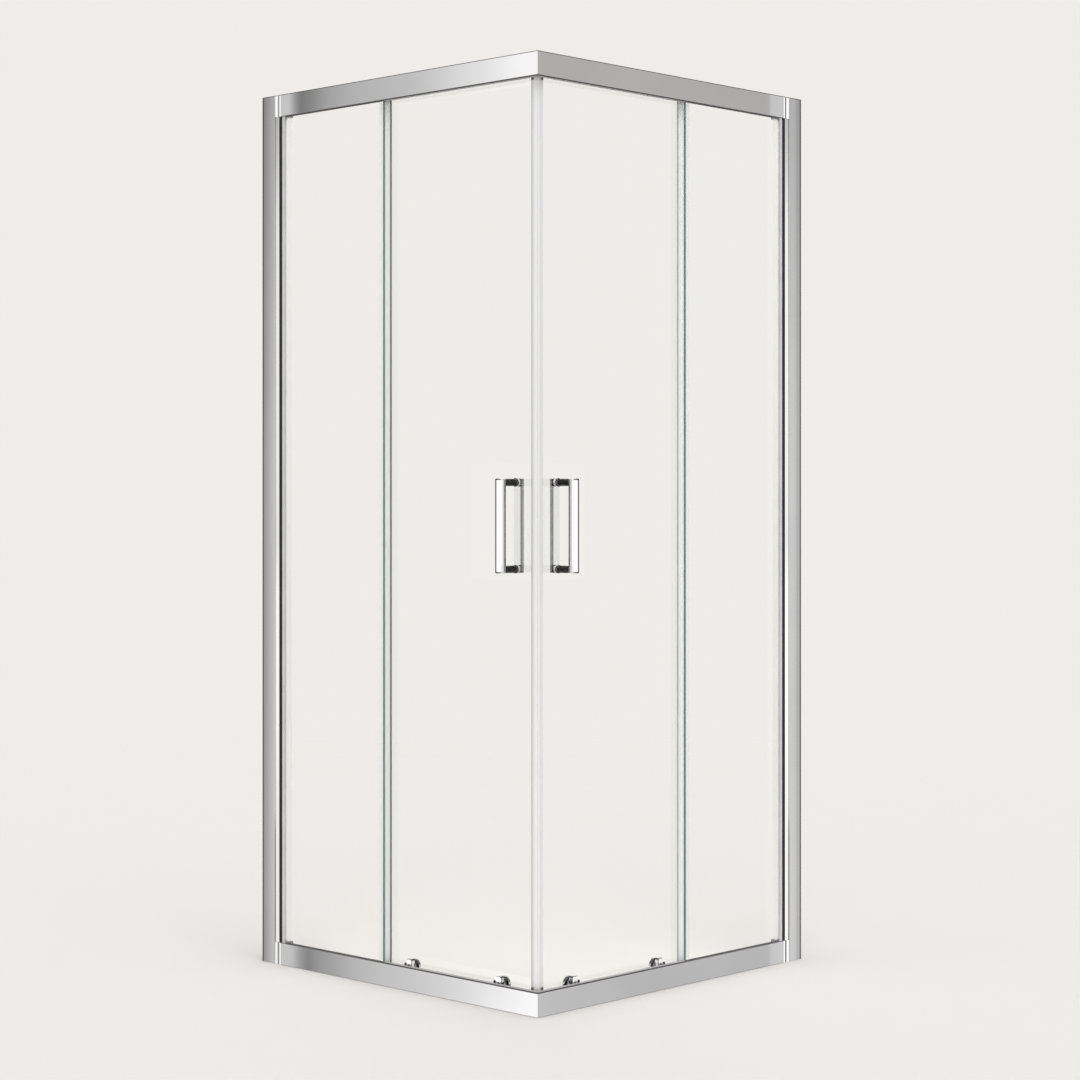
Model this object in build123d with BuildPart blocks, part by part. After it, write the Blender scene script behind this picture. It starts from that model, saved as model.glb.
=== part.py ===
from build123d import *
from math import sqrt
import os

# Square corner-entry shower enclosure: two equal wings that meet at a mitred corner.
# Each wing has a fixed pane at the wall and a sliding door that runs behind it.
# Millimetres, +Z up. The origin is on the floor, under the middle of the bounding box.
# The wing along +X is drawn, and the other wing is its mirror image in the diagonal plane.
# On a wing, "along" counts from the outer corner and "depth" from the outer face inwards.

# Enclosure
wing_width = 885
frame_height = 2000
rail_face = 50
outer_skin = 2
wall = 1.6
divider = 1.2
edge_round = 0.8
cut_past = 1

# Depths of the fixed pane and of the divider behind it
glass_thickness = 6
fixed_front = 5
divider_gap = 1
fixed_back = fixed_front + glass_thickness
divider_front = fixed_back + divider_gap
divider_back = divider_front + divider

# Depths of a wheel, its release slider, its bracket plate and the door pane
wheel_gap = 1
wheel_width = 3.9
wheel_flange = 1
groove_width = 2
slider_gap = 0.7
slider_thickness = 1.8
plate_gap = 0.2
plate_thickness = 2.2
washer = 1
wheel_front = divider_back + wheel_gap
wheel_back = wheel_front + wheel_width
groove_front = wheel_front + wheel_flange
groove_back = groove_front + groove_width
slider_front = wheel_back + slider_gap
slider_back = slider_front + slider_thickness
plate_front = slider_back + plate_gap
plate_back = plate_front + plate_thickness
door_front = plate_back + washer
door_back = door_front + glass_thickness
pane_middle = (door_front + door_back) / 2

# Inner knobs, and the rail depth that has room for them
knob_radius = 17
knob_thickness = 6.8
knob_room = 0.6
knob_chamfer = 0.8
knob_front = door_back + washer
knob_back = knob_front + knob_thickness
rail_depth = knob_back + knob_room + wall

# Axles
axle_radius = 1.5
running_fit = 0.05
axle_side_gap = 0.2
axle_head = 0.5
axle_head_radius = 2.4
axle_boss_radius = 3
axle_front = wheel_front - axle_side_gap - axle_head
axle_boss_front = wheel_back + axle_side_gap

# Wheels, and the rib they run on in each rail
wheel_radius = 9
wheel_groove_radius = 7
release_lift = 5
rib_thickness = 1.2
track_clearance = 0.3
track_floor = 14
bottom_rib = 3.5
top_rib = 2.2
top_axle_drop = 16
rib_front = (groove_front + groove_back - rib_thickness) / 2
rib_back = rib_front + rib_thickness
bottom_rib_top = track_floor + bottom_rib
bottom_axle = bottom_rib_top + track_clearance + wheel_groove_radius
top_axle = frame_height - top_axle_drop
top_rib_top = top_axle - wheel_groove_radius - track_clearance
ledge_top = top_rib_top - top_rib
ledge_under = ledge_top - wall
ledge_room = 0.6
ledge_back = plate_front - ledge_room
bottom_lip_height = 22
top_lip = 16

# Frame at the wall
profile_face = 44
profile_wall = 1.8
post_shows = 19
post_width = 48
post_gap = 0.4
post_slot = 23
post_slot_room = 1.2
profile_start = wing_width - profile_face
post_start = profile_start - post_shows
post_end = post_start + post_width
post_front = profile_wall + post_gap
post_back = rail_depth - post_front
post_slot_front = post_front + wall
post_slot_back = fixed_back + post_slot_room
post_slot_end = post_start + post_slot

# End caps between a rail and its post
cap_slice = 3
cap_plate = 2
cap_gap = 0.2
flute_inset = 5.5
flute_width = 7
flute_depth = 1
flute_slope = 1
rail_end = post_start - cap_slice
cap_end = profile_start - cap_gap
flute_start = rail_end + flute_inset
flute_end = flute_start + flute_width

# Glazing slot of a rail, and the gasket in it
slot_depth = 22
gasket_base = 2
gasket_lip = 2
gasket_corner_radius = 12
gasket_shows = 11
slot_floor = rail_face - slot_depth
top_slot_roof = frame_height - slot_floor
top_rail_under = frame_height - rail_face
gasket_wall_side = post_start - gasket_shows

# Panes
lead_gap = 4
door_width = 456
pane_overlap = 13
bottom_room = 6
top_room = 10
free_edge_chamfer = 0.5
door_lead = door_back + lead_gap
door_trail = door_lead + door_width
door_bottom = bottom_lip_height + bottom_room
door_top = frame_height - top_room
fixed_free_edge = door_trail - pane_overlap
fixed_wall_edge = post_slot_end - gasket_base
fixed_bottom = slot_floor + gasket_base
fixed_top = frame_height - fixed_bottom

# Travel of a door, until its pane's edge stands this far before the rail's end
open_room = 17
door_travel = rail_end - open_room - door_trail

# Roller places on a door
front_roller_inset = 94
rear_roller_inset = 87
bottom_hole_inset = 20
top_hole_inset = 18
glass_hole_radius = 7
sleeve_gap = 0.2
screw_radius = 3
screw_clearance = 0.2
screw_socket = 3
screw_socket_depth = 2.5
roller_places = (door_lead + front_roller_inset, door_trail - rear_roller_inset)
bottom_hole = door_bottom + bottom_hole_inset
top_hole = door_top - top_hole_inset
sleeve_radius = glass_hole_radius - sleeve_gap
half_sleeve_gap = 0.1

# Handles
handle_inset = 54
handle_middle = 1016
handle_pitch = 182
bar_width = 19.5
bar_past_bolt = 8
bar_round = 1
outer_bar_thickness = 13
inner_bar_thickness = 10
standoff_length = 36.5
standoff_radius = 7.8
standoff_chamfer = 0.6
inner_spacer = 3
spacer_radius = 7.5
pane_ring = 1.2
handle_hole_radius = 6
handle_along = door_lead + handle_inset
bar_length = handle_pitch + 2 * bar_past_bolt
outer_bar_back = plate_back - standoff_length
outer_bar_front = outer_bar_back - outer_bar_thickness
inner_bar_front = door_back + inner_spacer
inner_bar_back = inner_bar_front + inner_bar_thickness

# Seals on a door
seal_leg = 2
seal_leg_length = 6
seal_bottom = 47
seal_top_room = 46
magnet_gap = 0.2
magnet_length = 7
magnet_thickness = 2
magnet_skin = 1.2
magnet_offset = 0.8
magnet_end_skin = 1
trail_seal_inset = 20
trail_seal_end_room = 55
trail_leg = 1.4
trail_bulb = 2
trail_back_step = 4
fin_clearance = 0.4
fin_lean = 4
fin_thickness = 1
seal_top = frame_height - seal_top_room
trail_seal_start = door_trail - trail_seal_inset

# Fasteners of the frame
wall_hole_radius = 2.75
outer_hole_inset = 150
inner_hole_inset = 700
post_screw_inset = 250
post_screw_along = wing_width - 29
post_screw_radius = 2
post_screw_fit = 0.1
post_screw_head_radius = 4
post_screw_head = 2.4
post_screw_round = 1
post_screw_socket = 1.5
post_screw_socket_floor = 0.8
post_screw_reach = 5
connector_screw_first = 45
connector_screw_pitch = 30
connector_screw_height = 20.5
connector_screw_radius = 1.5
connector_head_radius = 3
connector_head = 1.8
connector_socket = 1.2
connector_socket_floor = 1
wall_hole_heights = (
    outer_hole_inset,
    inner_hole_inset,
    frame_height - inner_hole_inset,
    frame_height - outer_hole_inset,
)
post_screw_heights = (post_screw_inset, frame_height / 2, frame_height - post_screw_inset)
connector_screws_along = (connector_screw_first, connector_screw_first + connector_screw_pitch)

# The corner stands so that the bounding box, out to the handles, is centred on the origin.
corner_offset = -(wing_width + outer_bar_front) / 2
corner = (corner_offset, corner_offset, 0)
middle_height = frame_height / 2

outer_face = Plane(origin=corner, x_dir=(1, 0, 0), z_dir=(0, -1, 0))
rail_section = Plane(origin=corner, x_dir=(0, 1, 0), z_dir=(1, 0, 0))
wing_plan = Plane(origin=corner, x_dir=(1, 0, 0), z_dir=(0, 0, 1))
diagonal = Plane(origin=corner, x_dir=(1, 1, 0), z_dir=(1, -1, 0))
half_height = Plane(origin=(0, 0, middle_height), x_dir=(1, 0, 0), z_dir=(0, 0, 1))


def rectangle(low_x, low_y, high_x, high_y, mode=Mode.ADD):
    with Locations(((low_x + high_x) / 2, (low_y + high_y) / 2)):
        Rectangle(high_x - low_x, high_y - low_y, mode=mode)


def outline(points, mode=Mode.ADD):
    Polygon(*points, align=None, mode=mode)


# A block between two places along the wing, two depths and two heights
def block(along, depth, height, mode=Mode.ADD):
    with BuildSketch(wing_plan.offset(height[0])) as footprint:
        rectangle(along[0], depth[0], along[1], depth[1])
    extrude(footprint.sketch, amount=height[1] - height[0], mode=mode)


# Round bars or holes that run through the wing's depth, at (along, height) places
def rods(places, radius, front, back, mode=Mode.ADD):
    with BuildSketch(outer_face.offset(-front)) as discs:
        with Locations(*places):
            Circle(radius)
    extrude(discs.sketch, amount=front - back, mode=mode)


def hexagons(places, radius, front, back, mode=Mode.SUBTRACT):
    with BuildSketch(outer_face.offset(-front)) as sockets:
        with Locations(*places):
            RegularPolygon(radius, 6)
    extrude(sockets.sketch, amount=front - back, mode=mode)


connector_places = [(along, connector_screw_height) for along in connector_screws_along]
top_connector_places = [
    (along, frame_height - connector_screw_height) for along in connector_screws_along
]

# Bottom rail: glazing slot in front, wheel channel behind, a chamber under each
with BuildPart() as right_bottom_rail:
    with BuildSketch(rail_section) as section:
        outline([
            (0, 0),
            (rail_depth, 0),
            (rail_depth, bottom_lip_height),
            (rail_depth - wall, bottom_lip_height),
            (rail_depth - wall, track_floor),
            (rib_back, track_floor),
            (rib_back, bottom_rib_top),
            (rib_front, bottom_rib_top),
            (rib_front, track_floor),
            (divider_back, track_floor),
            (divider_back, rail_face),
            (divider_front, rail_face),
            (divider_front, slot_floor),
            (outer_skin, slot_floor),
            (outer_skin, rail_face),
            (0, rail_face),
        ])
        fillet(section.vertices().group_by(Axis.X)[0], radius=edge_round)
        rectangle(outer_skin, wall, divider_front, slot_floor - wall, mode=Mode.SUBTRACT)
        rectangle(divider_back, wall, rail_depth - wall, track_floor - wall, mode=Mode.SUBTRACT)
    extrude(amount=rail_end)
    split(bisect_by=diagonal, keep=Keep.TOP)
    rods(
        connector_places,
        connector_screw_radius + screw_clearance,
        divider_front - cut_past,
        divider_back + cut_past,
        Mode.SUBTRACT,
    )

# Top rail: the slot opens downwards, and the wheels run on a ledge behind the divider
with BuildPart() as right_top_rail:
    with BuildSketch(rail_section) as section:
        outline([
            (0, top_rail_under),
            (outer_skin, top_rail_under),
            (outer_skin, top_slot_roof),
            (divider_front, top_slot_roof),
            (divider_front, top_rail_under),
            (divider_back, top_rail_under),
            (divider_back, ledge_under),
            (ledge_back, ledge_under),
            (ledge_back, ledge_top),
            (rib_back, ledge_top),
            (rib_back, top_rib_top),
            (rib_front, top_rib_top),
            (rib_front, ledge_top),
            (divider_back, ledge_top),
            (divider_back, frame_height - wall),
            (rail_depth - wall, frame_height - wall),
            (rail_depth - wall, frame_height - top_lip),
            (rail_depth, frame_height - top_lip),
            (rail_depth, frame_height),
            (0, frame_height),
        ])
        fillet(section.vertices().group_by(Axis.X)[0], radius=edge_round)
        rectangle(outer_skin, top_slot_roof + wall, divider_front, frame_height - wall, mode=Mode.SUBTRACT)
    extrude(amount=rail_end)
    split(bisect_by=diagonal, keep=Keep.TOP)
    rods(
        top_connector_places,
        connector_screw_radius + screw_clearance,
        divider_front - cut_past,
        divider_back + cut_past,
        Mode.SUBTRACT,
    )

# Corner connectors: an L in the chamber beside the slot, one in each pair of rails
connector_gap = 0.3
connector_arm_end = 20
connector_thread_gap = 0.1
connector_arm = connector_screws_along[-1] + connector_arm_end
connector_front = outer_skin + connector_gap
connector_back = divider_front - connector_gap
connector_screw_tip = connector_front + connector_gap + outer_skin
connector_bottom = wall + connector_gap
connector_top = slot_floor - wall - connector_gap
with BuildPart() as corner_connectors:
    with BuildSketch(wing_plan.offset(connector_bottom)):
        outline([
            (connector_front, connector_front),
            (connector_arm, connector_front),
            (connector_arm, connector_back),
            (connector_back, connector_back),
            (connector_back, connector_arm),
            (connector_front, connector_arm),
        ])
    extrude(amount=connector_top - connector_bottom)
    rods(
        connector_places,
        connector_screw_radius + connector_thread_gap,
        connector_screw_tip - connector_gap,
        connector_back,
        Mode.SUBTRACT,
    )
    mirror(about=diagonal, mode=Mode.INTERSECT)
    mirror(about=half_height)

# Their screws, put in from the wheel channel
with BuildPart() as connector_screws:
    rods(connector_places, connector_screw_radius, connector_screw_tip, divider_back)
    rods(connector_places, connector_head_radius, divider_back, divider_back + connector_head)
    hexagons(
        connector_places,
        connector_socket,
        divider_back + connector_socket_floor,
        divider_back + connector_head,
    )
    mirror(about=half_height)
    mirror(about=diagonal)

# End caps: a slice between rail and post, and a fluted plate over the post's front
with BuildPart() as rail_end_caps:
    with BuildSketch(wing_plan) as plan:
        outline([
            (rail_end, 0),
            (flute_start, 0),
            (flute_start + flute_slope, flute_depth),
            (flute_end - flute_slope, flute_depth),
            (flute_end, 0),
            (cap_end, 0),
            (cap_end, cap_plate),
            (post_start, cap_plate),
            (post_start, rail_depth),
            (rail_end, rail_depth),
        ])
        fillet(plan.vertices().group_by(Axis.Y)[0], radius=edge_round)
    extrude(amount=rail_face)
    block((rail_end, post_start), (outer_skin, divider_front), (slot_floor, rail_face), Mode.SUBTRACT)
    mirror(about=half_height)
    mirror(about=diagonal)

# Jamb post: slides in the wall profile and holds the fixed pane's edge in its slot
with BuildPart() as right_jamb_post:
    with BuildSketch(wing_plan) as plan:
        outline([
            (post_start, post_front),
            (post_end, post_front),
            (post_end, post_back),
            (post_start, post_back),
            (post_start, post_slot_back),
            (post_slot_end, post_slot_back),
            (post_slot_end, post_slot_front),
            (post_start, post_slot_front),
        ])
        outline([
            (post_slot_end + wall, post_slot_front),
            (post_end - wall, post_slot_front),
            (post_end - wall, post_back - wall),
            (post_start + wall, post_back - wall),
            (post_start + wall, post_slot_back + wall),
            (post_slot_end + wall, post_slot_back + wall),
        ], mode=Mode.SUBTRACT)
    extrude(amount=frame_height)
    post_screw_places = [(post_screw_along, height) for height in post_screw_heights]
    post_bore = post_screw_radius + post_screw_fit
    rods(post_screw_places, post_bore, post_back - wall - cut_past, post_back + cut_past, Mode.SUBTRACT)

# Wall profile: a channel with wall-screw holes in its web
with BuildPart() as right_wall_profile:
    with BuildSketch(wing_plan) as plan:
        outline([
            (profile_start, 0),
            (wing_width, 0),
            (wing_width, rail_depth),
            (profile_start, rail_depth),
            (profile_start, rail_depth - profile_wall),
            (wing_width - profile_wall, rail_depth - profile_wall),
            (wing_width - profile_wall, profile_wall),
            (profile_start, profile_wall),
        ])
        fillet(plan.vertices().group_by(Axis.Y)[0], radius=edge_round)
    extrude(amount=frame_height)
    with BuildSketch(rail_section.offset(wing_width - profile_wall - cut_past)):
        with Locations(*[(rail_depth / 2, height) for height in wall_hole_heights]):
            Circle(wall_hole_radius)
    extrude(amount=profile_wall + 2 * cut_past, mode=Mode.SUBTRACT)
    rods(
        post_screw_places,
        post_bore,
        rail_depth - profile_wall - cut_past,
        rail_depth + cut_past,
        Mode.SUBTRACT,
    )

# Screws that join profile and post, from inside the shower
head_front = rail_depth
head_back = head_front + post_screw_head
with BuildPart() as post_screws:
    rods(post_screw_places, post_screw_radius, post_back - post_screw_reach, head_front)
    rods(post_screw_places, post_screw_head_radius, head_front, head_back)
    fillet(post_screws.faces().group_by(Axis.Y)[-1].edges(), radius=post_screw_round)
    hexagons(post_screw_places, post_screw_socket, head_front + post_screw_socket_floor, head_back)
    mirror(about=diagonal)

# Fixed pane, with a free edge towards the door
with BuildPart() as right_fixed_glass:
    with BuildSketch(outer_face.offset(-fixed_front)):
        rectangle(fixed_free_edge, fixed_bottom, fixed_wall_edge, fixed_top)
    extrude(amount=-glass_thickness)
    chamfer(right_fixed_glass.edges().filter_by(Axis.Z).group_by(Axis.X)[0], length=free_edge_chamfer)

# Glazing gasket: a U round three edges of the pane, rounded where its sides meet
with BuildPart() as right_glazing_gasket:
    for front, back in ((post_slot_front, fixed_front), (fixed_back, divider_front)):
        with BuildSketch(outer_face.offset(-front)) as leg:
            rectangle(fixed_free_edge, slot_floor, post_slot_end, top_slot_roof)
            rectangle(
                fixed_free_edge,
                rail_face + gasket_lip,
                gasket_wall_side,
                top_rail_under - gasket_lip,
                mode=Mode.SUBTRACT,
            )
            fillet(leg.vertices().group_by(Axis.X)[1], radius=gasket_corner_radius)
        extrude(amount=front - back)
    for bottom, top in ((slot_floor, fixed_bottom), (fixed_top, top_slot_roof)):
        block((fixed_free_edge, post_slot_end), (fixed_front, fixed_back), (bottom, top))
    block((fixed_wall_edge, post_slot_end), (fixed_front, fixed_back), (fixed_bottom, fixed_top))
    for bottom, top in ((slot_floor, rail_face), (top_rail_under, top_slot_roof)):
        block((fixed_free_edge, rail_end), (outer_skin, post_slot_front), (bottom, top))

# Filler strips: close the empty glazing slot along the door
filler_gap = 0.2
filler_end_gap = 2
filler_wall = 1.8
filler_reach = 14
filler_lip_inset = 0.6
filler_end = fixed_free_edge - filler_end_gap
filler_bottom = rail_face - filler_reach
filler_front = outer_skin + filler_gap
filler_back = divider_front - filler_gap
with BuildPart() as filler_strips:
    with BuildSketch(rail_section):
        rectangle(filler_front, filler_bottom, filler_back, rail_face)
        rectangle(edge_round + filler_gap, rail_face, divider_back - filler_lip_inset, rail_face + gasket_lip)
        rectangle(
            filler_front + filler_wall,
            filler_bottom,
            filler_back - filler_wall,
            rail_face - filler_wall,
            mode=Mode.SUBTRACT,
        )
    extrude(amount=filler_end)
    split(bisect_by=diagonal.offset(magnet_gap), keep=Keep.TOP)
    mirror(about=half_height)
    mirror(about=diagonal)

# Door stops: rubber blocks on the top track, past the ends of the wheels' travel
stop_length = 12
stop_gap = 0.5
stop_height = 13.3
stop_front = divider_back + filler_gap
stop_back = ledge_back - filler_gap
near_stop_end = roller_places[0] - wheel_radius - stop_gap
far_stop_start = roller_places[1] + wheel_radius + door_travel + stop_gap
with BuildPart() as door_stops:
    for start in (near_stop_end - stop_length, far_stop_start):
        block(
            (start, start + stop_length),
            (stop_front, stop_back),
            (top_rib_top, top_rib_top + stop_height),
        )
    fillet(door_stops.edges().filter_by(Axis.Z), radius=edge_round)
    mirror(about=diagonal)

# Door pane, with holes for two handle bolts and four rollers
handle_heights = (handle_middle - handle_pitch / 2, handle_middle + handle_pitch / 2)
handle_places = [(handle_along, height) for height in handle_heights]
bottom_places = [(along, bottom_hole) for along in roller_places]
top_places = [(along, top_hole) for along in roller_places]
with BuildPart() as right_door_glass:
    with BuildSketch(outer_face.offset(-door_front)):
        rectangle(door_lead, door_bottom, door_trail, door_top)
        with Locations(*handle_places):
            Circle(handle_hole_radius, mode=Mode.SUBTRACT)
        with Locations(*(bottom_places + top_places)):
            Circle(glass_hole_radius, mode=Mode.SUBTRACT)
    extrude(amount=-glass_thickness)

# Magnetic seal: clips on the leading edge, with a face along the diagonal
seal_front = door_front - seal_leg
seal_back = door_back + seal_leg
seal_leg_end = door_lead + seal_leg_length
magnet_depth = (magnet_skin + magnet_thickness / 2) / sqrt(2)
magnet_middle = (
    pane_middle + magnet_offset + magnet_gap + magnet_depth,
    pane_middle + magnet_offset - magnet_depth,
)
with BuildPart() as right_magnet_core:
    with BuildSketch(wing_plan.offset(seal_bottom + magnet_end_skin)):
        with Locations(Location(magnet_middle, 45)):
            Rectangle(magnet_length, magnet_thickness)
    extrude(amount=seal_top - seal_bottom - 2 * magnet_end_skin)
with BuildPart() as right_magnet_seal:
    with BuildSketch(wing_plan.offset(seal_bottom)):
        outline([
            (seal_front + magnet_gap, seal_front),
            (seal_leg_end, seal_front),
            (seal_leg_end, door_front),
            (door_lead, door_front),
            (door_lead, door_back),
            (seal_leg_end, door_back),
            (seal_leg_end, seal_back),
            (seal_back + magnet_gap, seal_back),
        ])
    extrude(amount=seal_top - seal_bottom)
    with BuildSketch(wing_plan.offset(seal_bottom + magnet_end_skin)):
        with Locations(Location(magnet_middle, 45)):
            Rectangle(magnet_length, magnet_thickness)
    extrude(amount=seal_top - seal_bottom - 2 * magnet_end_skin, mode=Mode.SUBTRACT)

# Trailing seal: clips on the back edge, with a fin towards the fixed pane
fin_depth = divider_front + fin_clearance
fin_end = door_trail + fin_lean
trail_end = door_trail + trail_bulb
with BuildPart() as right_trailing_seal:
    with BuildSketch(wing_plan.offset(trail_seal_end_room)):
        outline([
            (trail_seal_start, door_front - trail_leg),
            (trail_end - fin_thickness, door_front - trail_leg),
            (fin_end, fin_depth),
            (fin_end + fin_thickness, fin_depth),
            (trail_end, door_front - trail_leg),
            (trail_end, door_back + trail_leg),
            (trail_seal_start + trail_back_step, door_back + trail_leg),
            (trail_seal_start + trail_back_step, door_back),
            (door_trail, door_back),
            (door_trail, door_front),
            (trail_seal_start, door_front),
        ])
    extrude(amount=frame_height - 2 * trail_seal_end_room)

# Handle: an outer bar on two standoffs, an inner bar, and bolts through the pane
bolt_grip = 6.5
bolt_tip_room = 1
bolt_fit = 0.05
bolt_head_radius = 5
bolt_head_depth = 4.8
bolt_head_inset = 0.4
bolt_socket = 2.8
bolt_socket_depth = 2.6
bolt_tip = outer_bar_back - bolt_grip
bolt_head_front = inner_bar_back - bolt_head_depth
bolt_head_back = inner_bar_back - bolt_head_inset
bolt_hole = screw_radius + screw_clearance
with BuildPart() as right_handle_outer_bar:
    with BuildSketch(outer_face.offset(-outer_bar_front)):
        with Locations((handle_along, handle_middle)):
            Rectangle(bar_width, bar_length)
    extrude(amount=-outer_bar_thickness)
    fillet(right_handle_outer_bar.edges(), radius=bar_round)
    rods(
        handle_places,
        screw_radius + bolt_fit,
        bolt_tip - bolt_tip_room,
        outer_bar_back + cut_past,
        Mode.SUBTRACT,
    )
with BuildPart() as right_handle_inner_bar:
    with BuildSketch(outer_face.offset(-inner_bar_front)):
        with Locations((handle_along, handle_middle)):
            Rectangle(bar_width, bar_length)
    extrude(amount=inner_bar_front - inner_bar_back)
    fillet(right_handle_inner_bar.edges(), radius=bar_round)
    rods(handle_places, bolt_hole, inner_bar_front - cut_past, inner_bar_back, Mode.SUBTRACT)
    rods(
        handle_places,
        bolt_head_radius + screw_clearance,
        bolt_head_front,
        inner_bar_back + cut_past,
        Mode.SUBTRACT,
    )
with BuildPart() as right_handle_standoffs:
    rods(handle_places, standoff_radius, outer_bar_back, plate_back)
    chamfer(right_handle_standoffs.faces().group_by(Axis.Y)[-1].edges(), length=standoff_chamfer)
    rods(handle_places, bolt_hole, outer_bar_back, plate_back, Mode.SUBTRACT)
handle_sleeve_radius = handle_hole_radius - sleeve_gap
with BuildPart() as right_handle_gaskets:
    rods(handle_places, standoff_radius + pane_ring, plate_back, door_front)
    rods(handle_places, handle_sleeve_radius, door_front, pane_middle - half_sleeve_gap)
    rods(handle_places, handle_sleeve_radius, pane_middle + half_sleeve_gap, door_back)
    rods(handle_places, spacer_radius, door_back, inner_bar_front)
    rods(handle_places, bolt_hole, plate_back, inner_bar_front, Mode.SUBTRACT)
with BuildPart() as right_handle_bolts:
    rods(handle_places, screw_radius, bolt_tip, bolt_head_front)
    rods(handle_places, bolt_head_radius, bolt_head_front, bolt_head_back)
    hexagons(handle_places, bolt_socket, bolt_head_back - bolt_socket_depth, bolt_head_back)


# A grooved roller wheel on an axle that runs through the wing's depth
def wheel(along, height):
    place = [(along, height)]
    with BuildPart() as grooved:
        rods(place, wheel_radius, wheel_front, wheel_back)
        with BuildSketch(outer_face.offset(-groove_front)):
            with Locations(*place):
                Circle(wheel_radius + cut_past)
                Circle(wheel_groove_radius, mode=Mode.SUBTRACT)
        extrude(amount=groove_front - groove_back, mode=Mode.SUBTRACT)
        rods(place, axle_radius + running_fit, wheel_front, wheel_back, Mode.SUBTRACT)
    return grooved


# An axle with a thin head at its free end and a boss at its root
def axle(places, root):
    rods(places, axle_radius, axle_front, root)
    rods(places, axle_head_radius, axle_front, axle_front + axle_head)
    rods(places, axle_boss_radius, axle_boss_front, root)


# Top roller brackets: a rounded plate that carries the door on its wheel
bracket_half = 9
bracket_below_hole = 12
bracket_above_axle = 10
bracket_round = 6
bracket_bore = screw_radius + half_sleeve_gap
with BuildPart() as right_top_roller_brackets:
    with BuildSketch(outer_face.offset(-plate_front)) as plates:
        for along in roller_places:
            rectangle(
                along - bracket_half,
                top_hole - bracket_below_hole,
                along + bracket_half,
                top_axle + bracket_above_axle,
            )
        fillet(plates.vertices(), radius=bracket_round)
    extrude(amount=plate_front - plate_back)
    rods(top_places, bracket_bore, plate_front, plate_back, Mode.SUBTRACT)
    axle([(along, top_axle) for along in roller_places], plate_front)

# Bottom roller brackets: a plate, a housing above the rail's edge, a lug for the
# spring and a headed pin that guides the release slider
plate_half = 16.5
plate_bottom = track_floor + 4
housing_half = 8.5
housing_gap = 0.4
housing_round = 5
housing_chamfer = 1
housing_rise = 18.5
housing_lift_room = 2
recess_rise = 2
recess_radius = 3
recess_depth = 2.5
lug_width = 6
lug_thickness = 2
lug_reach = 6.4
spring_free_length = 16
spring_drop = 4
pin_offset = 12.5
pin_rise = 8
pin_head_over = 1
pin_head = 1
pin_side_gap = 0.2
slider_fit = 0.1
tab_start = 9.6
tab_end = 15.5
tab_rise = 6
tab_height = 9
tab_gap = 0.6
slider_spring_side = 16
shoulder_width = 5.8
shoulder_round = 1
spring_top = bottom_hole - spring_drop
spring_bottom = spring_top - spring_free_length
slider_bottom = plate_bottom + 1.5
slider_top = spring_bottom + lug_reach - housing_gap
housing_front = divider_back + housing_gap
housing_bottom = slider_top + release_lift + housing_lift_room
housing_top = bottom_hole + housing_rise
plate_top = spring_top + lug_thickness
lug_front = plate_front - lug_reach
pin_height = slider_top + pin_rise
tab_top = rail_face + tab_rise
recess_height = rail_face + recess_rise
pin_slot_half = axle_radius + slider_fit
pin_head_back = slider_front - pin_side_gap
with BuildPart() as right_bottom_roller_brackets:
    for along in roller_places:
        with BuildSketch(outer_face.offset(-plate_front)) as plate:
            rectangle(along - plate_half, plate_bottom, along + plate_half, plate_top)
            rectangle(along - housing_half, spring_top, along + housing_half, housing_top)
            fillet(plate.vertices().group_by(Axis.Y)[-1], radius=housing_round)
        extrude(amount=plate_front - plate_back)
        with BuildSketch(outer_face.offset(-housing_front)) as housing:
            rectangle(along - housing_half, housing_bottom, along + housing_half, housing_top)
            fillet(housing.vertices().group_by(Axis.Y)[-1], radius=housing_round)
        extrude(amount=housing_front - plate_front)
        block(
            (along - plate_half, along - plate_half + lug_width),
            (lug_front, plate_front),
            (spring_top, plate_top),
        )
        pin = [(along + pin_offset, pin_height)]
        rods(pin, axle_radius, pin_head_back, plate_front)
        rods(pin, axle_radius + pin_head_over, pin_head_back - pin_head, pin_head_back)
    housing_fronts = right_bottom_roller_brackets.faces().filter_by(Axis.Y).group_by(Axis.Y)[0]
    chamfer(housing_fronts.edges(), length=housing_chamfer)
    rods(
        [(along, recess_height) for along in roller_places],
        recess_radius,
        housing_front,
        housing_front + recess_depth,
        Mode.SUBTRACT,
    )
    rods(bottom_places, bracket_bore, plate_front, plate_back, Mode.SUBTRACT)


# Release slider: carries a bottom wheel, and lifts it off the track by its thumb tab
def release_slider(along):
    pin = along + pin_offset
    spring_side = along - slider_spring_side
    with BuildPart() as slider:
        with BuildSketch(outer_face.offset(-slider_front)):
            rectangle(spring_side, slider_bottom, along + tab_end, slider_top)
            rectangle(along + tab_start, slider_top, along + tab_end, tab_top)
            rectangle(
                pin - pin_slot_half,
                pin_height - axle_radius - release_lift,
                pin + pin_slot_half,
                pin_height + pin_slot_half,
                mode=Mode.SUBTRACT,
            )
        extrude(amount=slider_front - slider_back)
        block(
            (spring_side, spring_side + shoulder_width),
            (lug_front, slider_front),
            (spring_bottom - lug_thickness, spring_bottom),
        )
        block(
            (along + tab_start, along + tab_end),
            (divider_back + tab_gap, slider_front),
            (tab_top - tab_height, tab_top),
        )
        fillet(slider.edges().filter_by(Axis.Z).group_by(Axis.Y)[0], radius=shoulder_round)
        axle([(along, bottom_axle)], slider_front)
    return slider


# Coil spring between the slider's shoulder and the bracket's lug
spring_radius = 1.7
spring_wire = 0.25
spring_turns = 7
spring_along = shoulder_width / 2 - slider_spring_side
spring_depth = (lug_front + slider_front) / 2


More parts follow.
